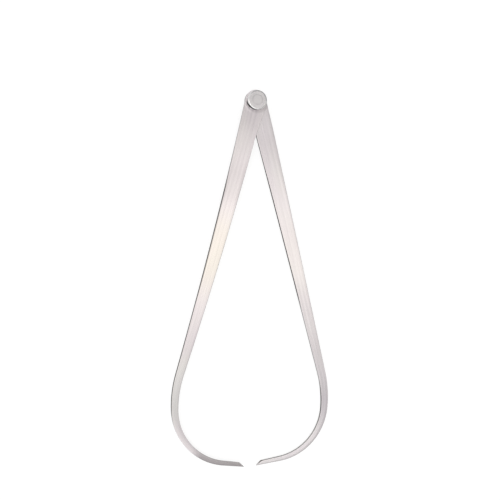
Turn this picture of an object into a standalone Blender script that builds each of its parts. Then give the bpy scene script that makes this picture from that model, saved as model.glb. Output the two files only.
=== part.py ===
# Outside caliper with a firm riveted joint.
#
# Two flat steel legs cross on one rivet, run down in a narrow V, bow outwards and come back in to pointed
# tips. A thick disc caps the joint on each side, and a thin washer between the legs makes it firm.
#
# Frame: the origin is on the pivot axis, on the flat back of the joint. +Z is the pivot axis, towards the
# front of the caliper, and +Y runs from the tips to the joint. The front leg bows to -X, the rear leg to +X.
# Lengths are in metres, angles in degrees.

from math import acos, asin, atan2, cos, degrees, hypot, pi, radians, sin

import bmesh
import bpy

# The legs: one strip each, ground to the same taper
LEG_THICKNESS = 0.0020
HEAD_RADIUS = 0.0087
NECK_LENGTH = 0.0240
SHANK_LENGTH = 0.2218
STRIP_WIDTH_AT_JOINT = 0.0158
STRIP_WIDTH_AT_BOW = 0.0065
STRIP_WIDTH_AT_TIP = 0.0030
UPPER_BEND_RADIUS = 0.0860
UPPER_BEND_ANGLE = 18.2
LOWER_BEND_RADIUS = 0.0434
TIP_CUT_LENGTH = 0.0042
EDGE_ROUND = 0.0004

# What differs between the legs, which were bent and drilled by hand. The hole lies off the middle of the
# strip, towards its inner side, and the shank sweeps a little outwards, or inwards where it is negative.
FRONT_HOLE_OFFSET = 0.0008
FRONT_SHANK_SWEEP = 3.15
FRONT_LOWER_BEND_ANGLE = 81.8
FRONT_TIP_LENGTH = 0.0168
REAR_HOLE_OFFSET = 0.0012
REAR_SHANK_SWEEP = -0.4
REAR_LOWER_BEND_ANGLE = 76.4
REAR_TIP_LENGTH = 0.0196

# How far the caliper stands open: the gap between its two tips
TIP_GAP = 0.0101

# The joint
DISC_RADIUS = 0.0078
DISC_HEIGHT = 0.0042
DISC_EDGE_ROUND = 0.0011
RIVET_RADIUS = 0.0030
RIVET_END_RADIUS = 0.0039
COUNTERSINK_DEPTH = 0.0012
RIVET_END_BEVEL = 0.0001
WASHER_RADIUS = 0.0072
WASHER_THICKNESS = 0.0003
FACE_CLEARANCE = 0.00004
HOLE_CLEARANCE = 0.00005

# How finely curves are divided
ROUND_STEPS = 72
HEAD_STEPS = 40
SHANK_STEPS = 12
UPPER_BEND_STEPS = 10
LOWER_BEND_STEPS = 36
TIP_STEPS = 2
EDGE_STEPS = 3
DISC_EDGE_STEPS = 6
SHARP_ANGLE = 35.0

# Colour and roughness of the bare metals
LEG_COLOUR = (0.62, 0.605, 0.60)
LEG_ROUGHNESS = 0.34
DISC_COLOUR = (0.58, 0.575, 0.575)
DISC_ROUGHNESS = 0.30
RIVET_COLOUR = (0.56, 0.555, 0.555)
RIVET_ROUGHNESS = 0.32
WASHER_COLOUR = (0.45, 0.44, 0.43)
WASHER_ROUGHNESS = 0.45

# Heights of the stack, from the flat back of the joint to its front
REAR_LEG_Z = DISC_HEIGHT + FACE_CLEARANCE
WASHER_Z = REAR_LEG_Z + LEG_THICKNESS + FACE_CLEARANCE
FRONT_LEG_Z = WASHER_Z + WASHER_THICKNESS + FACE_CLEARANCE
FRONT_DISC_Z = FRONT_LEG_Z + LEG_THICKNESS + FACE_CLEARANCE
JOINT_HEIGHT = FRONT_DISC_Z + DISC_HEIGHT
HOLE_RADIUS = RIVET_RADIUS + HOLE_CLEARANCE


def clear_scene():
    for old in list(bpy.data.objects):
        bpy.data.objects.remove(old, do_unlink=True)


def steel(name, colour, roughness):
    """A bare metal with a Principled surface."""
    material = bpy.data.materials.new(name)
    material.use_nodes = True
    shader = material.node_tree.nodes["Principled BSDF"]
    shader.inputs["Base Color"].default_value = (*colour, 1.0)
    shader.inputs["Metallic"].default_value = 1.0
    shader.inputs["Roughness"].default_value = roughness
    return material


def ring(bm, points, z):
    return [bm.verts.new((x, y, z)) for x, y in points]


def band(bm, lower, upper):
    """Quads between two closed rings with the same number of points."""
    for i in range(len(lower)):
        j = (i + 1) % len(lower)
        bm.faces.new((lower[i], lower[j], upper[j], upper[i]))


def ring_edges(bm, verts):
    return [bm.edges.get((verts[i - 1], verts[i])) for i in range(len(verts))]


def finish_object(bm, name, material, z=0.0, turn=0.0):
    bmesh.ops.recalc_face_normals(bm, faces=bm.faces[:])
    mesh = bpy.data.meshes.new(name)
    bm.to_mesh(mesh)
    bm.free()
    mesh.shade_smooth()
    mesh.set_sharp_from_angle(angle=radians(SHARP_ANGLE))
    mesh.materials.append(material)
    piece = bpy.data.objects.new(name, mesh)
    piece.location.z = z
    piece.rotation_euler.z = radians(turn)
    bpy.context.scene.collection.objects.link(piece)


def circle(radius, steps=ROUND_STEPS):
    return [(radius * cos(2 * pi * i / steps), radius * sin(2 * pi * i / steps)) for i in range(steps)]


def turned(name, profile, material, z=0.0):
    """A turned piece: profile holds (radius, height) points in order round the section, and a point on the
    axis closes the solid there."""
    bm = bmesh.new()
    rings = [None if radius == 0 else ring(bm, circle(radius), height) for radius, height in profile]
    for i, (radius, height) in enumerate(profile):
        here, following = rings[i - 1], rings[i]
        if here and following:
            band(bm, here, following)
        elif here:
            bm.faces.new(here)
        elif following:
            bm.faces.new(following)
    finish_object(bm, name, material, z)


# The shape of a leg, in its own frame: the pivot at the origin, the shank down -Y, the inner side at +X


def arc_point(x, y, heading, length, turn):
    """The point reached from (x, y) by an arc of this length and turn. A heading of 0 looks down -Y, and a
    positive turn is towards +X."""
    chord = length if turn == 0 else 2 * length / turn * sin(turn / 2)
    middle = heading + turn / 2
    return x + chord * sin(middle), y - chord * cos(middle)


class Leg:
    """The outline of one leg, worked out along the middle of its strip."""

    def __init__(self, hole_offset, shank_sweep, lower_bend_angle, tip_length):
        upper, lower = radians(UPPER_BEND_ANGLE), radians(lower_bend_angle)
        self.stretches = [
            (SHANK_LENGTH, -radians(shank_sweep), SHANK_STEPS),
            (UPPER_BEND_RADIUS * upper, upper, UPPER_BEND_STEPS),
            (LOWER_BEND_RADIUS * lower, lower, LOWER_BEND_STEPS),
            (tip_length, 0.0, TIP_STEPS),
        ]
        self.length = sum(length for length, turn, steps in self.stretches)
        self.stations = self.find_stations(hole_offset)

    def find_stations(self, hole_offset):
        """Points along the middle of the strip, from the neck on: x, y, heading and the distance along."""
        x, y, heading, along = -hole_offset, 0.0, 0.0, 0.0
        found = []
        for length, turn, steps in self.stretches:
            start = NECK_LENGTH / length if along == 0 else 1 / steps
            for i in range(steps):
                part = start + (1 - start) * i / (steps - 1)
                px, py = arc_point(x, y, heading, length * part, turn * part)
                found.append((px, py, heading + turn * part, along + length * part))
            x, y, heading, along = found[-1]
        return found

    def width(self, along):
        """The strip tapers evenly to the bow, and then evenly to the tip."""
        if along < SHANK_LENGTH:
            share = along / SHANK_LENGTH
            return STRIP_WIDTH_AT_JOINT + share * (STRIP_WIDTH_AT_BOW - STRIP_WIDTH_AT_JOINT)
        share = (along - SHANK_LENGTH) / (self.length - SHANK_LENGTH)
        return STRIP_WIDTH_AT_BOW + share * (STRIP_WIDTH_AT_TIP - STRIP_WIDTH_AT_BOW)

    def edge(self, side, inset, until):
        """Points along one edge of the strip, moved inwards by inset: side is 1 for the inner edge."""
        points = []
        for x, y, heading, along in self.stations:
            if along < until:
                out = side * (self.width(along) / 2 - inset)
                points.append((x + out * cos(heading), y + out * sin(heading)))
        return points

    def slanted_tip(self, inset):
        """The corners of the slanted cut: the point on the outer edge, then the corner on the inner edge."""
        x, y, heading, along = self.stations[-1]
        wide = STRIP_WIDTH_AT_TIP
        slant = hypot(TIP_CUT_LENGTH, wide)
        point_back = inset * (slant + TIP_CUT_LENGTH) / wide
        corner_back = (inset * slant + TIP_CUT_LENGTH * (wide - inset)) / wide
        corners = []
        for back, out in ((point_back, inset - wide / 2), (corner_back, wide / 2 - inset)):
            corner_x = x - back * sin(heading) + out * cos(heading)
            corner_y = y + back * cos(heading) + out * sin(heading)
            corners.append((corner_x, corner_y))
        return corners

    def outline(self, inset):
        """The whole outline, counter-clockwise from above. Both edges run from the neck into the round head
        along a tangent."""
        head = HEAD_RADIUS - inset
        clear_of_cut = TIP_CUT_LENGTH / 2
        outer = self.edge(-1, inset, self.length - clear_of_cut)
        inner = self.edge(1, inset, self.length - TIP_CUT_LENGTH - clear_of_cut)
        outer_start = atan2(outer[0][1], outer[0][0]) - acos(head / hypot(*outer[0])) + 2 * pi
        inner_start = atan2(inner[0][1], inner[0][0]) + acos(head / hypot(*inner[0]))
        over_the_top = []
        for i in range(HEAD_STEPS + 1):
            angle = inner_start + (outer_start - inner_start) * i / HEAD_STEPS
            over_the_top.append((head * cos(angle), head * sin(angle)))
        return outer + self.slanted_tip(inset) + inner[::-1] + over_the_top

    def turn_for_gap(self):
        """The leg's turn about the pivot, in degrees, that sets its point half the gap from the middle."""
        x, y = self.slanted_tip(0.0)[0]
        return -degrees(asin(TIP_GAP / 2 / hypot(x, y)) + atan2(x, -y))


def make_leg(name, leg, side, z, material):
    """side is 1 for the leg that bows to -X and -1 for the one that bows to +X."""
    bm = bmesh.new()
    rounding = [radians(90.0 * i / EDGE_STEPS) for i in range(EDGE_STEPS + 1)]
    lower_edge = [(EDGE_ROUND * (1 - cos(angle)), EDGE_ROUND * (1 - sin(angle))) for angle in rounding]
    upper_edge = [(LEG_THICKNESS - height, inset) for height, inset in reversed(lower_edge)]
    rings = []
    for height, inset in lower_edge + upper_edge:
        points = leg.outline(inset)
        if side == -1:
            points = [(-x, y) for x, y in reversed(points)]
        rings.append(ring(bm, points, height))
    for lower, upper in zip(rings, rings[1:]):
        band(bm, lower, upper)

    hole_low = ring(bm, circle(HOLE_RADIUS), 0.0)
    hole_high = ring(bm, circle(HOLE_RADIUS), LEG_THICKNESS)
    band(bm, hole_low, hole_high)
    for outside, hole in ((rings[0], hole_low), (rings[-1], hole_high)):
        edges = ring_edges(bm, outside) + ring_edges(bm, hole)
        bmesh.ops.triangle_fill(bm, edges=edges, use_beauty=True)
    finish_object(bm, name, material, z, side * leg.turn_for_gap())


def disc_profile(seat_down):
    """The section of a disc cap. It has a rounded rim on its open side and a countersunk hole for the
    rivet's end. seat_down is True for the front disc, whose flat seat faces down."""
    sink = RIVET_END_RADIUS + HOLE_CLEARANCE
    rim = DISC_RADIUS - DISC_EDGE_ROUND
    points = [(HOLE_RADIUS, 0.0), (DISC_RADIUS, 0.0)]
    for i in range(DISC_EDGE_STEPS + 1):
        angle = radians(90.0 * i / DISC_EDGE_STEPS)
        points.append((rim + DISC_EDGE_ROUND * cos(angle), DISC_HEIGHT - DISC_EDGE_ROUND * (1 - sin(angle))))
    points += [(sink, DISC_HEIGHT), (HOLE_RADIUS, DISC_HEIGHT - COUNTERSINK_DEPTH)]
    if seat_down:
        return points
    return [(radius, DISC_HEIGHT - height) for radius, height in reversed(points)]


def rivet_profile():
    """A plain shank that flares into the countersink at each end and finishes flush with the discs."""
    flare = [
        (0.0, 0.0),
        (RIVET_END_RADIUS - RIVET_END_BEVEL, 0.0),
        (RIVET_END_RADIUS - RIVET_END_BEVEL / 2, RIVET_END_BEVEL),
        (RIVET_RADIUS, COUNTERSINK_DEPTH),
    ]
    return flare + [(radius, JOINT_HEIGHT - height) for radius, height in reversed(flare)]


def make_joint(material, rivet_material, washer_material):
    turned("rear_disc", disc_profile(seat_down=False), material)
    turned("front_disc", disc_profile(seat_down=True), material, FRONT_DISC_Z)
    turned("pivot_rivet", rivet_profile(), rivet_material)
    washer = [
        (HOLE_RADIUS, 0.0),
        (WASHER_RADIUS, 0.0),
        (WASHER_RADIUS, WASHER_THICKNESS),
        (HOLE_RADIUS, WASHER_THICKNESS),
    ]
    turned("friction_washer", washer, washer_material, WASHER_Z)


def main():
    clear_scene()
    front = Leg(FRONT_HOLE_OFFSET, FRONT_SHANK_SWEEP, FRONT_LOWER_BEND_ANGLE, FRONT_TIP_LENGTH)
    rear = Leg(REAR_HOLE_OFFSET, REAR_SHANK_SWEEP, REAR_LOWER_BEND_ANGLE, REAR_TIP_LENGTH)
    front_steel = steel("front_leg_steel", LEG_COLOUR, LEG_ROUGHNESS)
    rear_steel = steel("rear_leg_steel", LEG_COLOUR, LEG_ROUGHNESS)
    make_leg("front_leg", front, 1, FRONT_LEG_Z, front_steel)
    make_leg("rear_leg", rear, -1, REAR_LEG_Z, rear_steel)
    make_joint(
        steel("disc_steel", DISC_COLOUR, DISC_ROUGHNESS),
        steel("rivet_steel", RIVET_COLOUR, RIVET_ROUGHNESS),
        steel("washer_steel", WASHER_COLOUR, WASHER_ROUGHNESS),
    )


main()
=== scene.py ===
# The looks of an outside caliper: brushed steel legs, turned and polished discs, and soft light on them.
#
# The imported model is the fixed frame. The legs are built again here as fine meshes that carry their strip's
# own directions, so that the brushing follows the bows. Lengths are in metres, angles in degrees.
# A ramp holds two places on a scale, and then the values that it has at these places and beyond them.

from math import acos, asin, atan2, cos, degrees, hypot, pi, radians, sin
from types import SimpleNamespace

import bmesh
import bpy
from mathutils import Matrix, Vector


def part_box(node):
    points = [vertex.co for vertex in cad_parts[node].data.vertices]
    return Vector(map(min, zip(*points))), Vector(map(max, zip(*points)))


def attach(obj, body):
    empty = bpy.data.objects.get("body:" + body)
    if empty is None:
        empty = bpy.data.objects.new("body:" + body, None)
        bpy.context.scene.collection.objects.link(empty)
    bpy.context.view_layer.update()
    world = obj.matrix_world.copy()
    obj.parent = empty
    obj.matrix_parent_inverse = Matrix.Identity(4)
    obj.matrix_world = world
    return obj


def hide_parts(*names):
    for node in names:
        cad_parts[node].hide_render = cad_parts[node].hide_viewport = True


# The legs, as the part's source has them
LEG_THICKNESS = 0.0020
HEAD_RADIUS = 0.0087
NECK_LENGTH = 0.0240
SHANK_LENGTH = 0.2218
STRIP_WIDTH_AT_JOINT = 0.0158
STRIP_WIDTH_AT_BOW = 0.0065
STRIP_WIDTH_AT_TIP = 0.0030
UPPER_BEND_RADIUS = 0.0860
UPPER_BEND_ANGLE = 18.2
LOWER_BEND_RADIUS = 0.0434
TIP_CUT_LENGTH = 0.0042
EDGE_ROUND = 0.0004
FRONT_HOLE_OFFSET = 0.0008
FRONT_SHANK_SWEEP = 3.15
FRONT_LOWER_BEND_ANGLE = 81.8
FRONT_TIP_LENGTH = 0.0168
REAR_HOLE_OFFSET = 0.0012
REAR_SHANK_SWEEP = -0.4
REAR_LOWER_BEND_ANGLE = 76.4
REAR_TIP_LENGTH = 0.0196
TIP_GAP = 0.0101

# The joint, as the part's source has it
HOLE_RADIUS = 0.00305
DISC_RADIUS = 0.0078
DISC_EDGE_ROUND = 0.0011
RIVET_RADIUS = 0.0030
RIVET_END_RADIUS = 0.0039
COUNTERSINK_DEPTH = 0.0012
SEAM = 0.00005

# How finely curves are divided
HEAD_STEPS = 64
NECK_STEPS = 16
SHANK_STEPS = 60
UPPER_BEND_STEPS = 16
LOWER_BEND_STEPS = 56
TIP_STEPS = 8
EDGE_STEPS = 5
ACROSS_STEPS = 8
HOLE_RINGS = 6
ROUND_STEPS = 160
RIM_STEPS = 12
SHARP_ANGLE = 35.0

# The finish of each leg, with the painted shade and highlights on it. Places along the strip are distances
# from the pivot, and a change that lies beyond the strip's end is left out.
# tone is the strip's own shade, and straw is how strong the straw tint is halfway down.
# dark_edge is -1 where the outer side wall carries the painted shade, and 1 where the inner one does.
# edges_in is the ramp by which the painted shade on the edges comes in. The dark edge's painted shade fades
# again by the ramp edge_fades, and comes back between the two places in edge_returns.
# dark_rim is the painted shade of the flat side right beside the dark edge.
# neck is the ramp of tones below the disc. A duller stretch lies round dull_middle, with the tone dull_tone.
# bow_tone is the tone round the bow. The painted shade and highlight of the bow's end come in by the ramp
# end_in, and end_tones is the ramp of these painted tones across it. cut_start is where the painted shade on
# the slanted cut's wall starts.
FRONT_LOOK = SimpleNamespace(
    seed=0.3,
    tone=(0.985, 0.970, 0.978),
    straw=1.0,
    dark_edge=-1.0,
    edges_in=(0.015, 0.080, 0.0, 1.0),
    edge_fades=(0.246, 0.264, 0.0, 1.0),
    edge_returns=(0.340, 0.350),
    dark_rim=0.35,
    neck=(0.018, 0.030, 0.94, 1.0),
    dull_middle=0.068,
    dull_tone=0.91,
    bow_tone=(1.04, 1.08, 1.045),
    end_in=(0.283, 0.295, 0.0, 1.0),
    end_tones=(-0.0016, 0.0016, 0.48, 0.78),
    cut_start=0.330,
)
REAR_LOOK = SimpleNamespace(
    seed=1.7,
    tone=(0.915, 0.912, 0.922),
    straw=0.25,
    dark_edge=1.0,
    edges_in=(-0.010, 0.010, 0.0, 1.0),
    edge_fades=(0.155, 0.172, 0.0, 0.7),
    edge_returns=(0.226, 0.240),
    dark_rim=0.95,
    neck=(0.020, 0.034, 1.065, 1.0),
    dull_middle=0.163,
    dull_tone=0.94,
    bow_tone=(1.03, 1.03, 1.04),
    end_in=(0.240, 0.282, 0.0, 1.0),
    end_tones=(-0.0024, -0.0004, 0.90, 1.38),
    cut_start=0.3215,
)

# Noise lies mostly between the values in NOISE_SPAN. The scale of a grain is how often its noise changes in a
# metre along each axis, and on a strip the first two axes are along it and across it.
NOISE_SPAN = (0.3, 0.7)
HAIRS = (45.0, 7000.0, 1.0)
HAIR_DETAIL = 3.0
STREAKS = (15.0, 640.0, 1.0)
STREAK_DETAIL = 2.5
PATCHES = (28.0, 70.0, 1.0)
CUT_MARKS = (5200.0, 300.0, 1.0)
SCRATCHES = (30.0, 3600.0, 1.0)
SCRATCH_TURN = 1.5
SCRATCHES_SHOW = (0.68, 0.74, 0.0, 1.0)
GROOVE_DEPTH = 0.000012

# Where a strip's edges change. SIDES_MEET is how far on each side of the middle the pale side passes into the
# dark one, which has painted shade, and WALL_SPREAD how far a dark wall's painted shade reaches over the
# rounded edge, both by the place along it.
# The scale of WALL_STARTS and CORNER_ENDS runs round the rounded edge, from 0 on the flat side to 1.
SIDES_MEET = (0.0, 0.025, 0.005, 0.001)
WALL_SPREAD = (0.03, 0.07, 0.05, 0.48)
WALL_STARTS = (0.48, 0.66, 0.0, 1.0)
CORNER_ENDS = (0.65, 1.0, 0.0, 1.0)
# Painted shade on a flat side: a little towards the pale edge, and more right beside the dark edge
FAR_EDGE_PAINTED_SHADE = (0.0, 0.0024, 0.86, 1.0)
PAINTED_RIM_SHADE_WIDTH = 0.0012
PAINTED_RIM_SHADE_STARTS = (0.058, 0.075)
PAINTED_RIM_SHADE_EASES = (0.145, 0.170, 1.0, 0.2)

# Where a strip's tone changes along it
STRAW_MIDDLE = 0.125
STRAW_LENGTH = 0.055
STRAW_CORE = 0.25 * STRAW_LENGTH
DULL_REACH = (0.006, 0.024)
BOW_STARTS = (0.198, 0.226)
BOW_ENDS = (0.245, 0.268, 1.0, 0.0)
END_RAGGEDNESS = 0.003
CUT_BLEND = 0.001

# The ring on a leg round the disc's foot, with its painted light and shade from the pale side towards the
# dark one
PIVOT_ON_STRIP = (0.0, 0.0010, 0.0)
RING_START = DISC_RADIUS + 0.0012
RING_END = DISC_RADIUS + 0.0036
RING_PAINTED_LIGHT_AND_SHADE = (-0.001, 0.005, 0.86, 1.36)

# The colours of a strip. A pair holds the two ends of a grain, or of the change between two patches
WHITE = (1.0, 1.0, 1.0)
STRIP_STEEL = ((0.560, 0.541, 0.551), (0.705, 0.682, 0.692))
HAIR_SHARE = 0.35
PATCH_TINTS = ((1.0, 0.975, 0.985), (1.0, 0.992, 0.975))
PATCHES_SHOW = (0.35, 0.65, 0.0, 1.0)
STRAW_TINT = (0.990, 1.0, 0.915)
PALE_WALL = ((0.34, 0.33, 0.325), (0.48, 0.465, 0.46))
# The dark wall, its darker corner and its duller highlights are painted shade, for shade and a dark
# reflection
PAINTED_SHADE_WALL = ((0.17, 0.166, 0.163), (0.27, 0.263, 0.259))
PAINTED_SHADE_CORNER = (0.030, 0.029, 0.028)
PAINTED_SHADE_WALL_GLINT = (0.45, 0.45, 0.45)
END_WALL = (0.5, 0.49, 0.48)
END_WALL_SHARE = 0.6
CUT_TINT = (1.15, 0.95, 0.90)

# The roughness of a strip, by its hairs, and what changes it
STRIP_ROUGHNESS = (0.2, 0.8, 0.25, 0.33)
SCRATCH_ROUGHNESS = -0.05
RING_ROUGHNESS = 1.5
WALL_ROUGHNESS = 0.12
HAIR_HEIGHT = 0.6
STRIP_ANISOTROPY = 0.75
QUARTER_TURN = 0.25

# The discs, faced on a lathe
LATHE_RINGS = (5200.0, 1.0, 1.0)
LATHE_RING_DETAIL = 3.0
LATHE_RING_SHARE = 0.5
SWIRL = (260.0, 260.0, 60.0)
HANDLING = (900.0, 5200.0, 200.0)
HANDLING_TURN = 37.0
HANDLING_SHOWS = (0.66, 0.74, 0.0, 1.0)
FACED_STEEL = ((0.572, 0.554, 0.562), (0.652, 0.632, 0.641))
FACED_ROUGHNESS = (0.2, 0.8, 0.24, 0.36)
HANDLING_ROUGHNESS = -0.08
RIM_START = DISC_RADIUS - DISC_EDGE_ROUND
RIM_BLEND = (RIM_START - 0.0001, RIM_START + 0.0002, 0.0, 1.0)
# The rim's tone is painted: lighter towards the front left, a painted highlight, and darker away from it,
# painted shade
RIM_SHADE_AND_HIGHLIGHT = ((0.43, 0.425, 0.425), (0.68, 0.675, 0.675))
RIM_SHADE_AND_HIGHLIGHT_TURNS = (-0.35, 0.35, 0.0, 1.0)
RIM_ROUGHNESS = 0.13
RIM_GROOVES = 0.1
SEAM_SHADE = (0.13, 0.12, 0.11)
SEAM_FADES = (RIVET_END_RADIUS + SEAM, RIVET_END_RADIUS + 4 * SEAM, 0.2, 0.0)
DISC_WALL = (0.66, 0.65, 0.648)
DISC_WALL_STARTS = (0.17 * DISC_EDGE_ROUND, 0.40 * DISC_EDGE_ROUND, 0.0, 1.0)
DISC_ANISOTROPY = 0.4

# The side of the discs' walls where a band of painted shade stands in for a dark reflection, as a direction
# from the pivot. The band climbs from the disc's foot, and the ramps say how far below the face it lies and
# half its width, by how far the place lies towards the tips
PAINTED_CRESCENT_SIDE = (-0.743, -0.669, 0.0)
PAINTED_CRESCENT_SIDE_STARTS = (0.58, 0.92, 0.0, 1.0)
TOWARDS_TIPS = (0.0, -1.0, 0.0)
PAINTED_BAND_DEPTH = (0.26, 0.87, 0.0034, 0.0012)
PAINTED_BAND_HALF_WIDTH = (0.68, 0.88, 0.0018, 0.0009)
PAINTED_BAND_EDGE = (0.55, 1.45, 1.0, 0.0)
PAINTED_BAND_SHADE = (0.035, 0.034, 0.033)
PAINTED_BAND_SHADE_GLINT = (0.4, 0.4, 0.4)

# The rivet, filed flush in one direction
FILE_STROKES = (500.0, 6000.0, 500.0)
FILE_STROKE_DETAIL = 3.0
FILE_STROKE_TURN = 28.0
FILE_STROKE_SHARE = 0.6
FILED_SPOTS = (420.0, 420.0, 420.0)
FILED_STEEL = ((0.552, 0.534, 0.542), (0.642, 0.622, 0.631))
FILED_ROUGHNESS = (0.2, 0.8, 0.26, 0.38)
FILED_EDGE = (0.16, 0.15, 0.14)
FILED_EDGE_STARTS = (RIVET_END_RADIUS - 4 * SEAM, RIVET_END_RADIUS - SEAM, 0.0, 0.25)

# The washer, worn in rings and dark from oil
WASHER_RINGS = (3800.0, 1.0, 1.0)
WASHER_GROOVE_DEPTH = 0.00001
WASHER_STEEL = ((0.33, 0.32, 0.30), (0.46, 0.45, 0.43))
WASHER_OIL_SPOTS = (500.0, 500.0, 500.0)
WASHER_OIL = (0.12, 0.11, 0.10)
WASHER_OIL_SHOWS = (0.35, 0.65, 0.0, 0.6)
WASHER_ROUGHNESS = (0.3, 0.7, 0.28, 0.5)

# The plane that the caliper lies on: it touches the rear disc's rim and the rear leg's tip
FLOOR_HEIGHT = -0.00013
FLOOR_SLOPE_X = -0.00637
FLOOR_SLOPE_Y = -0.01538
FLOOR_SIZE = 6.0
FLOOR_COLOUR = (0.90, 0.90, 0.90)
FLOOR_GLOW = 0.68
FLOOR_GLOW_STRENGTH = 1.12

# The camera looks down on the caliper from a little to the left, square to the middle of the picture
CAMERA_AIM = (-0.002664, -0.117646, 0.00602)
CAMERA_DISTANCE = 0.69266
CAMERA_LEFT = 12.968
CAMERA_DOWN = 1.369
CAMERA_ROLL = 0.92
CAMERA_LENS = 63.489
SENSOR_WIDTH = 36.0

# The room's light. The ceiling is paler towards the front left than towards the back right, and a warm band
# lies across it. Lower down the room is more even, but for one large light on the front left.
# The ramps of the horizon and the ceiling are their light, by how far a direction points along the slope.
UP = (0.0, 0.0, 1.0)
SLOPE = (-0.88, -0.30, 0.0)
HORIZON_LIGHT = (-0.75, 0.25, 0.78, 0.92)
CEILING_LIGHT = (-0.35, 0.05, 0.54, 1.02)
CEILING_STARTS = (0.35, 0.88, 0.0, 1.0)
ACROSS_BAND = (0.0, 1.0, 0.0)
BAND_MIDDLE = 0.03
BAND_HALF_WIDTH = 0.155
BAND_LIGHT = 2.30
BAND_COLOUR = (1.0, 0.965, 0.915)
BIG_LIGHT = 1.6
BIG_LIGHT_TOWARDS = (-0.40, -0.66, 0.62)
BIG_LIGHT_FULL = 18.0
BIG_LIGHT_END = 38.0
CAMERA_WHITE = 1.0


def arc_point(x, y, heading, length, turn):
    """The point reached from (x, y) by an arc of this length and turn. A heading of 0 looks down -Y, and a
    positive turn is towards +X."""
    chord = length if turn == 0 else 2 * length / turn * sin(turn / 2)
    middle = heading + turn / 2
    return x + chord * sin(middle), y - chord * cos(middle)


def between(first, last, share):
    return tuple(a + (b - a) * share for a, b in zip(first, last))


def right_angle(steps):
    """Angles from 0 to 90 degrees, in radians."""
    return [radians(90.0 * i / steps) for i in range(steps + 1)]


class Leg:
    """The outline of one leg in its own frame: the pivot at the origin, the shank down -Y, the inner side at
    +X. Each point is x and y, then its place on the strip: the distance along and the distance across."""

    def __init__(self, hole_offset, shank_sweep, lower_bend_angle, tip_length):
        upper, lower = radians(UPPER_BEND_ANGLE), radians(lower_bend_angle)
        self.hole_offset = hole_offset
        self.stretches = [
            (SHANK_LENGTH, -radians(shank_sweep), SHANK_STEPS),
            (UPPER_BEND_RADIUS * upper, upper, UPPER_BEND_STEPS),
            (LOWER_BEND_RADIUS * lower, lower, LOWER_BEND_STEPS),
            (tip_length, 0.0, TIP_STEPS),
        ]
        self.length = sum(stretch[0] for stretch in self.stretches)
        self.stations = self.find_stations()

    def find_stations(self):
        """Points along the middle of the strip, from the neck on: x, y, heading and the distance along."""
        x, y, heading, along = -self.hole_offset, 0.0, 0.0, 0.0
        found = []
        for length, turn, steps in self.stretches:
            start = NECK_LENGTH / length if along == 0 else 1 / steps
            for i in range(steps):
                part = start + (1 - start) * i / (steps - 1)
                px, py = arc_point(x, y, heading, length * part, turn * part)
                found.append((px, py, heading + turn * part, along + length * part))
            x, y, heading, along = found[-1]
        return found

    def width(self, along):
        """The strip tapers evenly to the bow, and then evenly to the tip."""
        if along < SHANK_LENGTH:
            share = along / SHANK_LENGTH
            return STRIP_WIDTH_AT_JOINT + share * (STRIP_WIDTH_AT_BOW - STRIP_WIDTH_AT_JOINT)
        share = (along - SHANK_LENGTH) / (self.length - SHANK_LENGTH)
        return STRIP_WIDTH_AT_BOW + share * (STRIP_WIDTH_AT_TIP - STRIP_WIDTH_AT_BOW)

    def edge(self, side, inset, until):
        """Points along one edge of the strip, moved inwards by inset: side is 1 for the inner edge."""
        points = []
        for x, y, heading, along in self.stations:
            if along < until:
                out = side * (self.width(along) / 2 - inset)
                points.append((x + out * cos(heading), y + out * sin(heading), along, out))
        return points

    def edges(self, inset):
        """The outer and the inner edge, each up to half a cut's length short of the slanted cut."""
        clear_of_cut = TIP_CUT_LENGTH / 2
        outer = self.edge(-1, inset, self.length - clear_of_cut)
        inner = self.edge(1, inset, self.length - TIP_CUT_LENGTH - clear_of_cut)
        return outer, inner

    def slanted_tip(self, inset):
        """The corners of the slanted cut: the point on the outer edge, then the corner on the inner edge."""
        x, y, heading, along = self.stations[-1]
        wide = STRIP_WIDTH_AT_TIP
        slant = hypot(TIP_CUT_LENGTH, wide)
        point_back = inset * (slant + TIP_CUT_LENGTH) / wide
        corner_back = (inset * slant + TIP_CUT_LENGTH * (wide - inset)) / wide
        corners = []
        for back, out in ((point_back, inset - wide / 2), (corner_back, wide / 2 - inset)):
            corner_x = x - back * sin(heading) + out * cos(heading)
            corner_y = y + back * cos(heading) + out * sin(heading)
            corners.append((corner_x, corner_y, along - back, out))
        return corners

    def on_circle(self, angle, radius):
        """A point on a circle round the pivot, and its place on the strip."""
        x, y = radius * cos(angle), radius * sin(angle)
        return x, y, -y, x + self.hole_offset

    def head(self, outer_start, inner_start, inset):
        """From the inner edge's start up a tangent, over the round head, and down to the outer edge's."""
        radius = HEAD_RADIUS - inset
        outer_side, inner_side = (atan2(start[1], start[0]) for start in (outer_start, inner_start))
        outer_angle = outer_side - acos(radius / hypot(*outer_start[:2])) + 2 * pi
        inner_angle = inner_side + acos(radius / hypot(*inner_start[:2]))
        span = outer_angle - inner_angle
        arc = [self.on_circle(inner_angle + span * i / HEAD_STEPS, radius) for i in range(HEAD_STEPS + 1)]
        up = [between(inner_start, arc[0], i / NECK_STEPS) for i in range(1, NECK_STEPS)]
        down = [between(arc[-1], outer_start, i / NECK_STEPS) for i in range(1, NECK_STEPS)]
        return up + arc + down

    def turn_for_gap(self):
        """The leg's turn about the pivot, in degrees, that sets its point half the gap from the middle."""
        x, y = self.slanted_tip(0.0)[0][:2]
        return -degrees(asin(TIP_GAP / 2 / hypot(x, y)) + atan2(x, -y))


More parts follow.
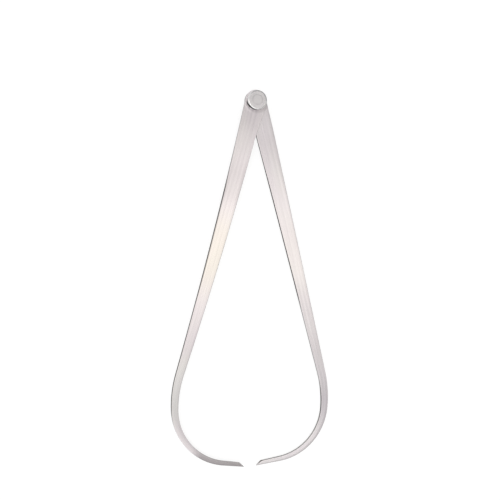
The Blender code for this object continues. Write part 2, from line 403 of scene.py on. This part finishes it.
class LegMesh:
    """Builds a leg's mesh: rings of its outline round the rounded edges, and rows of faces over each flat
    side. Each vertex knows its place on the strip and half the strip's width there, and wall goes from 0 on a
    flat side to 1 on a side wall."""

    def __init__(self, leg):
        self.leg = leg
        self.bm = bmesh.new()
        self.place = self.bm.verts.layers.float_vector.new("place")
        self.wall = self.bm.verts.layers.float.new("wall")
        self.half_width = self.bm.verts.layers.float.new("half_width")
        rounding = right_angle(EDGE_STEPS)
        lower = [(EDGE_ROUND * (1 - cos(a)), EDGE_ROUND * (1 - sin(a)), 2 * a / pi) for a in rounding]
        upper = [(LEG_THICKNESS - height, inset, wall) for height, inset, wall in reversed(lower)]
        rings = [self.outline(*level) for level in lower + upper]
        for low, high in zip(rings, rings[1:]):
            self.band(self.loop(low), self.loop(high))
        holes = [self.flat_side(rings[0], 0.0), self.flat_side(rings[-1], LEG_THICKNESS)]
        self.band(*holes)
        bmesh.ops.recalc_face_normals(self.bm, faces=self.bm.faces[:])

    def vert(self, point, height, wall=0.0):
        x, y, along, across = point
        made = self.bm.verts.new((x, y, height))
        made[self.place] = (along, across, 0.0)
        made[self.wall] = wall
        made[self.half_width] = self.leg.width(along) / 2
        return made

    def point(self, vert):
        return (vert.co.x, vert.co.y, *vert[self.place][:2])

    def outline(self, height, inset, wall):
        outer, inner = self.leg.edges(inset)
        lines = {"outer": outer, "inner": inner, "tip": self.leg.slanted_tip(inset)}
        lines["head"] = self.leg.head(outer[0], inner[0], inset)
        return {name: [self.vert(point, height, wall) for point in line] for name, line in lines.items()}

    def loop(self, ring):
        return ring["outer"] + ring["tip"] + ring["inner"][::-1] + ring["head"]

    def band(self, lower, upper):
        for i in range(len(lower)):
            self.bm.faces.new((lower[i - 1], lower[i], upper[i], upper[i - 1]))

    def row(self, first, last, height):
        """The vertices across a flat side between two on its border."""
        ends = self.point(first), self.point(last)
        middle = [self.vert(between(*ends, i / ACROSS_STEPS), height) for i in range(1, ACROSS_STEPS)]
        return [first, *middle, last]

    def flat_side(self, ring, height):
        """Rows across the strip, one face at the tip, and rings round the hole. Returns the hole's edge."""
        outer, inner = ring["outer"], ring["inner"]
        rows = [self.row(first, last, height) for first, last in zip(outer, inner)]
        for here, following in zip(rows, rows[1:]):
            for i in range(ACROSS_STEPS):
                self.bm.faces.new((here[i], here[i + 1], following[i + 1], following[i]))
        self.bm.faces.new(rows[-1] + ring["tip"][::-1] + outer[:len(inner) - 1:-1])
        border = ring["head"] + rows[0]
        rings = [border]
        for step in range(1, HOLE_RINGS + 1):
            ring_here = []
            for start in border:
                at_hole = self.leg.on_circle(atan2(start.co.y, start.co.x), HOLE_RADIUS)
                place = between(self.point(start), at_hole, step / HOLE_RINGS)
                ring_here.append(self.vert(place, height))
            rings.append(ring_here)
        for here, following in zip(rings, rings[1:]):
            self.band(here, following)
        return rings[-1]


def finish_piece(mesh, name, material, body, node):
    """Smooth shading with crisp corners, a material, and the node that the piece stands for."""
    mesh.shade_smooth()
    mesh.set_sharp_from_angle(angle=radians(SHARP_ANGLE))
    mesh.materials.append(material)
    piece = bpy.data.objects.new(name, mesh)
    bpy.context.scene.collection.objects.link(piece)
    weighted = piece.modifiers.new("flat_faces_stay_flat", "WEIGHTED_NORMAL")
    weighted.keep_sharp = True
    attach(piece, body)
    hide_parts(node)


def make_leg(name, leg, side, material, body, node):
    """side is 1 for the leg that bows to -X and -1 for the one that bows to +X."""
    bm = LegMesh(leg).bm
    uv = bm.loops.layers.uv.new("strip")
    place = bm.verts.layers.float_vector["place"]
    for face in bm.faces:
        for corner in face.loops:
            corner[uv].uv = corner.vert[place][:2]
    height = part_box(node)[0].z
    turn = Matrix.Rotation(radians(side * leg.turn_for_gap()), 4, "Z")
    bm.transform(Matrix.Translation((0, 0, height)) @ turn @ Matrix.Diagonal((side, 1, 1, 1)))
    if side == -1:
        bmesh.ops.reverse_faces(bm, faces=bm.faces[:])
    mesh = bpy.data.meshes.new(name)
    bm.to_mesh(mesh)
    bm.free()
    finish_piece(mesh, name, material, body, node)


def turned(profile):
    """A turned mesh about Z: profile holds (radius, height) in order round the section, and a point on the
    axis closes the solid there."""
    bm = bmesh.new()
    angles = [2 * pi * i / ROUND_STEPS for i in range(ROUND_STEPS)]
    rings = []
    for radius, height in profile:
        points = [(radius * cos(a), radius * sin(a), height) for a in angles]
        rings.append([bm.verts.new(p) for p in points] if radius else None)
    for i in range(len(profile)):
        here, following = rings[i - 1], rings[i]
        if here and following:
            for j in range(ROUND_STEPS):
                bm.faces.new((here[j - 1], here[j], following[j], following[j - 1]))
        elif here or following:
            bm.faces.new(here or following)
    bmesh.ops.recalc_face_normals(bm, faces=bm.faces[:])
    mesh = bpy.data.meshes.new("turned")
    bm.to_mesh(mesh)
    bm.free()
    return mesh


def make_disc(name, node, material, open_side):
    """open_side is 1 for the front disc, whose rounded rim faces up, and -1 for the rear one."""
    low, high = (corner.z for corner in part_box(node))
    seat, face = (low, high) if open_side == 1 else (high, low)
    profile = [(HOLE_RADIUS, seat), (DISC_RADIUS, seat)]
    for angle in right_angle(RIM_STEPS):
        drop = DISC_EDGE_ROUND * (1 - sin(angle))
        profile.append((RIM_START + DISC_EDGE_ROUND * cos(angle), face - open_side * drop))
    profile += [(RIVET_END_RADIUS + SEAM, face), (HOLE_RADIUS, face - open_side * COUNTERSINK_DEPTH)]
    finish_piece(turned(profile), name, material, "rear_half", node)


def make_rivet(name, node, material):
    """The ends are countersunk, and a fine bevel round each one leaves a seam."""
    low, high = (corner.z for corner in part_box(node))
    bevel = 2 * SEAM
    half = [
        (0.0, 0.0),
        (RIVET_END_RADIUS - bevel, 0.0),
        (RIVET_END_RADIUS - SEAM, bevel),
        (RIVET_RADIUS, COUNTERSINK_DEPTH),
    ]
    profile = [(radius, low + depth) for radius, depth in half]
    profile += [(radius, high - depth) for radius, depth in reversed(half)]
    finish_piece(turned(profile), name, material, "rear_half", node)


class Nodes:
    """A node tree, with short calls for the nodes that the looks use. An input is a value or a socket to link
    to it, and a colour is three numbers."""

    def __init__(self, tree):
        self.tree = tree

    def node(self, kind, inputs=None, **settings):
        made = self.tree.nodes.new(kind)
        for name, value in settings.items():
            setattr(made, name, value)
        self.set(made, inputs or {})
        return made

    def set(self, made, inputs):
        for name, value in inputs.items():
            socket = made.inputs[name]
            if isinstance(value, bpy.types.NodeSocket):
                self.tree.links.new(value, socket)
            elif socket.type == "RGBA":
                socket.default_value = (*value, 1.0)
            else:
                socket.default_value = value

    def math(self, operation, first, second=0.0):
        return self.node("ShaderNodeMath", {0: first, 1: second}, operation=operation).outputs["Value"]

    def plus(self, first, second):
        return self.math("ADD", first, second)

    def minus(self, first, second):
        return self.math("SUBTRACT", first, second)

    def times(self, first, second):
        return self.math("MULTIPLY", first, second)

    def apart(self, first, second):
        """How far two values lie apart."""
        return self.math("ABSOLUTE", self.minus(first, second))

    def vector(self, operation, first, second=(0.0, 0.0, 0.0)):
        """A vector worked out from one or two others."""
        return self.node("ShaderNodeVectorMath", {0: first, 1: second}, operation=operation).outputs["Vector"]

    def measure(self, operation, first, second=(0.0, 0.0, 0.0)):
        """A number worked out from one or two vectors."""
        return self.node("ShaderNodeVectorMath", {0: first, 1: second}, operation=operation).outputs["Value"]

    def ramp(self, value, low, high, at_low, at_high, kind="LINEAR"):
        """An even change from one value to another between two places on a scale."""
        inputs = {"Value": value, "From Min": low, "From Max": high, "To Min": at_low, "To Max": at_high}
        return self.node("ShaderNodeMapRange", inputs, interpolation_type=kind).outputs["Result"]

    def ease(self, value, low, high, at_low, at_high):
        """A ramp that starts and ends softly."""
        return self.ramp(value, low, high, at_low, at_high, "SMOOTHSTEP")

    def mix(self, share, first, second):
        """From the first colour to the second one."""
        return self.node("ShaderNodeMix", {0: share, 6: first, 7: second}, data_type="RGBA").outputs[2]

    def mix_values(self, share, first, second):
        """From the first number to the second one."""
        return self.node("ShaderNodeMix", {0: share, 2: first, 3: second}, data_type="FLOAT").outputs[0]

    def multiply(self, first, second):
        """A colour times another colour or a number."""
        inputs = {0: 1.0, 6: first, 7: second}
        return self.node("ShaderNodeMix", inputs, data_type="RGBA", blend_type="MULTIPLY").outputs[2]

    def shade(self, colour, share, tone):
        """The colour times the tone, as far as share says."""
        return self.multiply(colour, self.mix(share, WHITE, tone))

    def noise(self, vector, scale, detail=2.0, turn=0.0):
        """Noise from 0 to 1 in this vector, stretched by scale and turned in the plane."""
        placing = {"Vector": vector, "Scale": scale, "Rotation": (0.0, 0.0, radians(turn))}
        stretched = self.node("ShaderNodeMapping", placing).outputs["Vector"]
        inputs = {"Vector": stretched, "Scale": 1.0, "Detail": detail}
        return self.node("ShaderNodeTexNoise", inputs).outputs["Fac"]

    def grain(self, first, second, first_share):
        """Two noises as one grain from 0 to 1."""
        first_part = self.ramp(first, *NOISE_SPAN, 0.0, first_share)
        return self.plus(first_part, self.ramp(second, *NOISE_SPAN, 0.0, 1.0 - first_share))


class Metal(Nodes):
    """The nodes of one bare metal."""

    def __init__(self, name):
        self.material = bpy.data.materials.new(name)
        self.material.use_nodes = True
        super().__init__(self.material.node_tree)

    def attribute(self, name):
        """A number that the mesh's vertices carry."""
        return self.node("ShaderNodeAttribute", attribute_name=name).outputs["Fac"]

    def round_pivot(self):
        """The place on the piece, and the way out to it from the pivot axis."""
        place = self.node("ShaderNodeTexCoord").outputs["Object"]
        return place, self.vector("MULTIPLY", place, (1.0, 1.0, 0.0))

    def highlights(self, anisotropy, dark_share, dark_glint, **direction):
        """Highlights that spread across the grain's direction, and are darker as far as dark_share says."""
        return {
            "Specular Tint": self.mix(dark_share, WHITE, dark_glint),
            "Anisotropic": anisotropy,
            "Anisotropic Rotation": QUARTER_TURN,
            "Tangent": self.node("ShaderNodeTangent", **direction).outputs["Tangent"],
        }

    def surface(self, colour, roughness, grooves, groove_depth, highlights=None):
        """Sets the surface and returns the material. grooves goes from 0 to 1 over the depth of a groove."""
        bump = self.node("ShaderNodeBump", {"Height": grooves, "Distance": groove_depth, "Strength": 1.0})
        normal = bump.outputs["Normal"]
        steel = self.tree.nodes["Principled BSDF"]
        self.set(steel, {"Base Color": colour, "Metallic": 1.0, "Roughness": roughness, "Normal": normal})
        self.set(steel, highlights or {})
        return self.material


class BrushedStrip(Metal):
    """Steel brushed along the strip. look holds what differs between the two legs."""

    def __init__(self, name, look):
        super().__init__(name)
        self.look = look
        self.place = self.node("ShaderNodeUVMap", uv_map="strip").outputs["UV"]
        split = self.node("ShaderNodeSeparateXYZ", {"Vector": self.place}).outputs
        self.along, self.across = split["X"], split["Y"]
        self.to_dark_edge = self.times(self.across, look.dark_edge)
        self.wall = self.attribute("wall")
        self.half_width = self.attribute("half_width")
        seeded = self.vector("ADD", self.place, (look.seed, look.seed, 0.0))
        self.hairs = self.noise(seeded, HAIRS, detail=HAIR_DETAIL)
        self.streaks = self.noise(seeded, STREAKS, detail=STREAK_DETAIL)
        self.patches = self.noise(seeded, PATCHES)
        self.cut_marks = self.noise(seeded, CUT_MARKS)
        self.scratches = self.ramp(self.noise(seeded, SCRATCHES, turn=SCRATCH_TURN), *SCRATCHES_SHOW)
        self.find_edges()
        self.find_ends()

    def find_edges(self):
        """Where the edges get painted shade, which side is painted dark, and where the side walls start."""
        reach = self.ramp(self.along, *SIDES_MEET)
        dark_side = self.ease(self.to_dark_edge, self.times(reach, -1.0), reach, 0.0, 1.0)
        self.edges_in = self.ease(self.along, *self.look.edges_in)
        fading = self.ease(self.along, *self.look.edge_fades)
        faded = self.ramp(self.along, *self.look.edge_returns, fading, 0.0)
        self.darker = self.times(dark_side, self.times(self.edges_in, self.minus(1.0, faded)))
        spread = self.times(self.darker, self.ramp(self.along, *WALL_SPREAD))
        self.on_wall = self.ease(self.plus(self.wall, spread), *WALL_STARTS)

    def find_ends(self):
        """The end of the bow, with a ragged start, and the ring round the disc."""
        ragged = self.plus(self.along, self.ramp(self.patches, *NOISE_SPAN, 0.0, END_RAGGEDNESS))
        self.at_end = self.ease(ragged, *self.look.end_in)
        from_pivot = self.measure("DISTANCE", self.place, PIVOT_ON_STRIP)
        self.in_ring = self.ease(from_pivot, RING_START, RING_END, 1.0, 0.0)

    def bare_side(self):
        """A flat side's brushed steel, with slightly warmer and cooler patches."""
        brushed = self.mix(self.grain(self.hairs, self.streaks, HAIR_SHARE), *STRIP_STEEL)
        patchy = self.mix(self.ramp(self.patches, *PATCHES_SHOW), *PATCH_TINTS)
        return self.multiply(self.multiply(brushed, self.look.tone), patchy)

    def with_straw(self, colour):
        """The straw tint halfway down, with ragged ends."""
        from_middle = self.apart(self.along, STRAW_MIDDLE)
        from_middle = self.plus(from_middle, self.ramp(self.patches, *NOISE_SPAN, 0.0, STRAW_CORE))
        in_straw = self.ease(from_middle, STRAW_CORE, STRAW_LENGTH, self.look.straw, 0.0)
        return self.shade(colour, in_straw, STRAW_TINT)

    def with_edges(self, colour):
        """Painted shade on a flat side: darker right beside its dark edge, a little darker towards the other
        edge.
        """
        from_far_edge = self.plus(self.half_width, self.to_dark_edge)
        colour = self.shade(colour, self.edges_in, self.ramp(from_far_edge, *FAR_EDGE_PAINTED_SHADE))
        from_dark_edge = self.minus(self.half_width, self.to_dark_edge)
        beside = self.ramp(from_dark_edge, EDGE_ROUND, PAINTED_RIM_SHADE_WIDTH, self.look.dark_rim, 1.0)
        rim_in = self.ramp(self.along, *PAINTED_RIM_SHADE_STARTS, 0.0, self.ramp(self.along, *PAINTED_RIM_SHADE_EASES))
        return self.shade(colour, self.times(self.darker, rim_in), beside)

    def with_bow(self, colour):
        """The duller stretch, the bow, and the painted shade and highlight of the bow's end."""
        from_dull = self.apart(self.along, self.look.dull_middle)
        colour = self.multiply(colour, self.ease(from_dull, *DULL_REACH, self.look.dull_tone, 1.0))
        round_bow = self.ease(self.along, *BOW_STARTS, 0.0, self.ease(self.along, *BOW_ENDS))
        colour = self.shade(colour, round_bow, self.look.bow_tone)
        return self.shade(colour, self.at_end, self.ramp(self.across, *self.look.end_tones))

    def with_ring(self, colour):
        """The neck's tone, and the ring round the disc: painted shade on the pale side, painted light on the
        other.
        """
        neck = self.ease(self.along, *self.look.neck)
        return self.multiply(colour, self.mix(self.in_ring, neck, self.ramp(self.to_dark_edge, *RING_PAINTED_LIGHT_AND_SHADE)))

    def side_wall(self):
        """The ground side walls: one mid-grey, and one with painted shade and a darker painted corner, for
        shade and a dark reflection. Its painted shade is paler at the bow's end and dark again on the slanted
        cut."""
        dark = self.mix(self.ramp(self.wall, *CORNER_ENDS), PAINTED_SHADE_CORNER, self.mix(self.cut_marks, *PAINTED_SHADE_WALL))
        on_cut = self.ramp(self.along, self.look.cut_start - CUT_BLEND, self.look.cut_start, 0.0, 1.0)
        paler = self.times(self.at_end, self.ramp(on_cut, 0.0, 1.0, END_WALL_SHARE, 0.0))
        dark = self.shade(self.mix(paler, dark, END_WALL), on_cut, CUT_TINT)
        return self.mix(self.darker, self.mix(self.cut_marks, *PALE_WALL), dark)

    def roughness(self):
        smoother = self.times(self.scratches, SCRATCH_ROUGHNESS)
        brushed = self.plus(self.ramp(self.hairs, *STRIP_ROUGHNESS), smoother)
        brushed = self.times(brushed, self.ramp(self.in_ring, 0.0, 1.0, 1.0, RING_ROUGHNESS))
        return self.plus(brushed, self.times(self.on_wall, WALL_ROUGHNESS))


def brushed_strip(name, look):
    """The steel of one leg."""
    s = BrushedStrip(name, look)
    flat_side = s.with_ring(s.with_bow(s.with_edges(s.with_straw(s.bare_side()))))
    colour = s.mix(s.on_wall, flat_side, s.side_wall())
    grooves = s.plus(s.times(s.hairs, HAIR_HEIGHT), s.times(s.streaks, 1.0 - HAIR_HEIGHT))
    # Highlights on the wall with painted shade are painted darker too
    on_painted_shade_wall = s.times(s.on_wall, s.darker)
    along_strip = {"direction_type": "UV_MAP", "uv_map": "strip"}
    highlights = s.highlights(STRIP_ANISOTROPY, on_painted_shade_wall, PAINTED_SHADE_WALL_GLINT, **along_strip)
    return s.surface(colour, s.roughness(), grooves, GROOVE_DEPTH, highlights)


def painted_shade_band(s, outward, towards_painted_crescent, below_face):
    """How much of the band of painted shade a place on a disc's wall has."""
    towards_tips = s.measure("DOT_PRODUCT", outward, TOWARDS_TIPS)
    off_band = s.apart(below_face, s.ramp(towards_tips, *PAINTED_BAND_DEPTH))
    off_band = s.math("DIVIDE", off_band, s.ramp(towards_tips, *PAINTED_BAND_HALF_WIDTH))
    return s.times(s.ease(towards_painted_crescent, *PAINTED_CRESCENT_SIDE_STARTS), s.ease(off_band, *PAINTED_BAND_EDGE))


def turned_steel(name, seed, face_height, oil_and_painted_shade):
    """Steel faced on a lathe: fine rings on the face, a polished rim and a seam at the rivet. The last
    argument is how dark the band of painted shade on its wall is, from 0 to 1."""
    s = Metal(name)
    place, outward = s.round_pivot()
    radius = s.measure("LENGTH", outward)
    outward = s.vector("NORMALIZE", outward)
    towards_painted_crescent = s.measure("DOT_PRODUCT", outward, PAINTED_CRESCENT_SIDE)
    ring_place = s.node("ShaderNodeCombineXYZ", {"X": radius, "Y": seed}).outputs["Vector"]
    rings = s.noise(ring_place, LATHE_RINGS, detail=LATHE_RING_DETAIL)
    swirl = s.noise(place, SWIRL, turn=seed)
    on_rim = s.ease(radius, *RIM_BLEND)
    face = s.mix(s.grain(rings, swirl, LATHE_RING_SHARE), *FACED_STEEL)
    # Painted highlight on the rim towards the front left, and painted shade away from it
    rim = s.mix(s.ease(towards_painted_crescent, *RIM_SHADE_AND_HIGHLIGHT_TURNS), *RIM_SHADE_AND_HIGHLIGHT)
    colour = s.mix(s.ease(radius, *SEAM_FADES), s.mix(on_rim, face, rim), SEAM_SHADE)

    below_face = s.apart(s.node("ShaderNodeSeparateXYZ", {"Vector": place}).outputs["Z"], face_height)
    on_wall = s.ease(below_face, *DISC_WALL_STARTS)
    # A band of painted shade on the front-left side of the wall, with darker painted highlights, for a dark
    # reflection
    in_painted_band = s.times(s.times(painted_shade_band(s, outward, towards_painted_crescent, below_face), oil_and_painted_shade), on_wall)
    colour = s.mix(in_painted_band, s.mix(on_wall, colour, DISC_WALL), PAINTED_BAND_SHADE)

    handling = s.ramp(s.noise(place, HANDLING, turn=HANDLING_TURN + seed), *HANDLING_SHOWS)
    handled = s.plus(s.ramp(rings, *FACED_ROUGHNESS), s.times(handling, HANDLING_ROUGHNESS))
    roughness = s.mix_values(on_rim, handled, RIM_ROUGHNESS)
    grooves = s.times(rings, s.ramp(on_rim, 0.0, 1.0, 1.0, RIM_GROOVES))
    round_axis = {"direction_type": "RADIAL", "axis": "Z"}
    highlights = s.highlights(DISC_ANISOTROPY, in_painted_band, PAINTED_BAND_SHADE_GLINT, **round_axis)
    return s.surface(colour, roughness, grooves, GROOVE_DEPTH, highlights)


def filed_steel(name):
    """The rivet's ends, filed flush in one direction."""
    s = Metal(name)
    place, outward = s.round_pivot()
    strokes = s.noise(place, FILE_STROKES, detail=FILE_STROKE_DETAIL, turn=FILE_STROKE_TURN)
    grain = s.grain(strokes, s.noise(place, FILED_SPOTS), FILE_STROKE_SHARE)
    edge = s.ease(s.measure("LENGTH", outward), *FILED_EDGE_STARTS)
    colour = s.mix(edge, s.mix(grain, *FILED_STEEL), FILED_EDGE)
    return s.surface(colour, s.ramp(strokes, *FILED_ROUGHNESS), strokes, GROOVE_DEPTH)


def oiled_steel(name):
    """The washer between the legs: dark from oil, with its wear in rings."""
    s = Metal(name)
    place, outward = s.round_pivot()
    radius = s.measure("LENGTH", outward)
    rings = s.noise(s.node("ShaderNodeCombineXYZ", {"X": radius}).outputs["Vector"], WASHER_RINGS)
    oil_and_painted_shade = s.noise(place, WASHER_OIL_SPOTS)
    colour = s.mix(s.ramp(oil_and_painted_shade, *WASHER_OIL_SHOWS), s.mix(rings, *WASHER_STEEL), WASHER_OIL)
    return s.surface(colour, s.ramp(oil_and_painted_shade, *WASHER_ROUGHNESS), rings, WASHER_GROOVE_DEPTH)


def make_caliper(frame):
    """The legs, the discs and the rivet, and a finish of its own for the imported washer."""
    front = Leg(FRONT_HOLE_OFFSET, FRONT_SHANK_SWEEP, FRONT_LOWER_BEND_ANGLE, FRONT_TIP_LENGTH)
    rear = Leg(REAR_HOLE_OFFSET, REAR_SHANK_SWEEP, REAR_LOWER_BEND_ANGLE, REAR_TIP_LENGTH)
    front_strip = brushed_strip("front_brushed_steel", FRONT_LOOK)
    make_leg("front_leg_strip", front, 1, front_strip, "front_half", "front_leg")
    rear_strip = brushed_strip("rear_brushed_steel", REAR_LOOK)
    make_leg("rear_leg_strip", rear, -1, rear_strip, "rear_half", "rear_leg")
    front_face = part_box("front_disc")[1].z
    rear_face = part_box("rear_disc")[0].z
    make_disc("front_disc_cap", "front_disc", turned_steel("front_turned_steel", 11.0, front_face, 1.0), 1)
    make_disc("rear_disc_cap", "rear_disc", turned_steel("rear_turned_steel", 23.0, rear_face, 0.25), -1)
    make_rivet("rivet_pin", "pivot_rivet", filed_steel("filed_steel"))
    washer = frame["nodes"]["friction_washer"]
    washer.data.materials.clear()
    washer.data.materials.append(oiled_steel("oiled_steel"))


def white_floor():
    """Matt white. The camera, a mirror and a glass see it a little brighter, and its shadows stay."""
    material = bpy.data.materials.new("white_floor")
    material.use_nodes = True
    nodes = Nodes(material.node_tree)
    nodes.tree.nodes.clear()
    rays = nodes.node("ShaderNodeLightPath").outputs
    seen = nodes.math("MAXIMUM", rays["Is Camera Ray"], rays["Is Glossy Ray"])
    seen = nodes.math("MAXIMUM", seen, rays["Is Transmission Ray"])
    matt = nodes.node("ShaderNodeBsdfDiffuse", {"Color": FLOOR_COLOUR}).outputs["BSDF"]
    glow = nodes.node("ShaderNodeEmission", {"Strength": FLOOR_GLOW_STRENGTH}).outputs["Emission"]
    both = nodes.node("ShaderNodeMixShader", {0: nodes.times(seen, FLOOR_GLOW), 1: matt, 2: glow})
    nodes.node("ShaderNodeOutputMaterial", {"Surface": both.outputs["Shader"]})
    return material


def make_floor():
    bpy.ops.mesh.primitive_plane_add(size=FLOOR_SIZE)
    floor = bpy.context.object
    floor.name = "floor"
    for vert in floor.data.vertices:
        vert.co.z = FLOOR_HEIGHT + FLOOR_SLOPE_X * vert.co.x + FLOOR_SLOPE_Y * vert.co.y
    floor.data.materials.append(white_floor())


def make_room():
    """The light all round, and plain white for the camera behind the floor."""
    world = bpy.data.worlds.new("room")
    bpy.context.scene.world = world
    world.use_nodes = True
    nodes = Nodes(world.node_tree)
    direction = nodes.node("ShaderNodeTexCoord").outputs["Generated"]
    on_ceiling = nodes.ease(nodes.measure("DOT_PRODUCT", direction, UP), *CEILING_STARTS)
    slope = nodes.measure("DOT_PRODUCT", direction, SLOPE)
    light = nodes.mix_values(on_ceiling, nodes.ease(slope, *HORIZON_LIGHT), nodes.ease(slope, *CEILING_LIGHT))
    off_middle = nodes.apart(nodes.measure("DOT_PRODUCT", direction, ACROSS_BAND), BAND_MIDDLE)
    in_band = nodes.times(nodes.ease(off_middle, 0.0, BAND_HALF_WIDTH, 1.0, 0.0), on_ceiling)
    light = nodes.mix_values(in_band, light, BAND_LIGHT)
    nearness = nodes.measure("DOT_PRODUCT", direction, Vector(BIG_LIGHT_TOWARDS).normalized())
    full, end = (cos(radians(angle)) for angle in (BIG_LIGHT_FULL, BIG_LIGHT_END))
    light = nodes.mix_values(nodes.ease(nearness, end, full, 0.0, 1.0), light, BIG_LIGHT)
    seen = nodes.node("ShaderNodeLightPath").outputs["Is Camera Ray"]
    colour = nodes.mix(nodes.minus(in_band, seen), WHITE, BAND_COLOUR)
    strength = nodes.mix_values(seen, light, CAMERA_WHITE)
    nodes.set(nodes.tree.nodes["Background"], {"Color": colour, "Strength": strength})


def make_camera():
    camera = bpy.data.objects.new("camera", bpy.data.cameras.new("camera"))
    camera.data.lens = CAMERA_LENS
    camera.data.sensor_width = SENSOR_WIDTH
    roll = Matrix.Rotation(radians(CAMERA_ROLL), 4, "Z")
    left = Matrix.Rotation(radians(-CAMERA_LEFT), 4, "Y")
    down = Matrix.Rotation(radians(CAMERA_DOWN), 4, "X")
    back = Matrix.Translation((0, 0, CAMERA_DISTANCE))
    camera.matrix_world = Matrix.Translation(CAMERA_AIM) @ roll @ left @ down @ back
    bpy.context.scene.collection.objects.link(camera)
    bpy.context.scene.camera = camera


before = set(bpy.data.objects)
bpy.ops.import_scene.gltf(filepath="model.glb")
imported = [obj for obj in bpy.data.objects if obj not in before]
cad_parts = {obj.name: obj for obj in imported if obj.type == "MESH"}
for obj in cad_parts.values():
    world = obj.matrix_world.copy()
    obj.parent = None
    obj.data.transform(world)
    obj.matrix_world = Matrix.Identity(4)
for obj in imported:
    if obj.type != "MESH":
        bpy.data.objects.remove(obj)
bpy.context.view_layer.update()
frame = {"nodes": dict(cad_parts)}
make_caliper(frame)
make_floor()
make_room()
make_camera()
bpy.context.scene.view_settings.view_transform = "Standard"
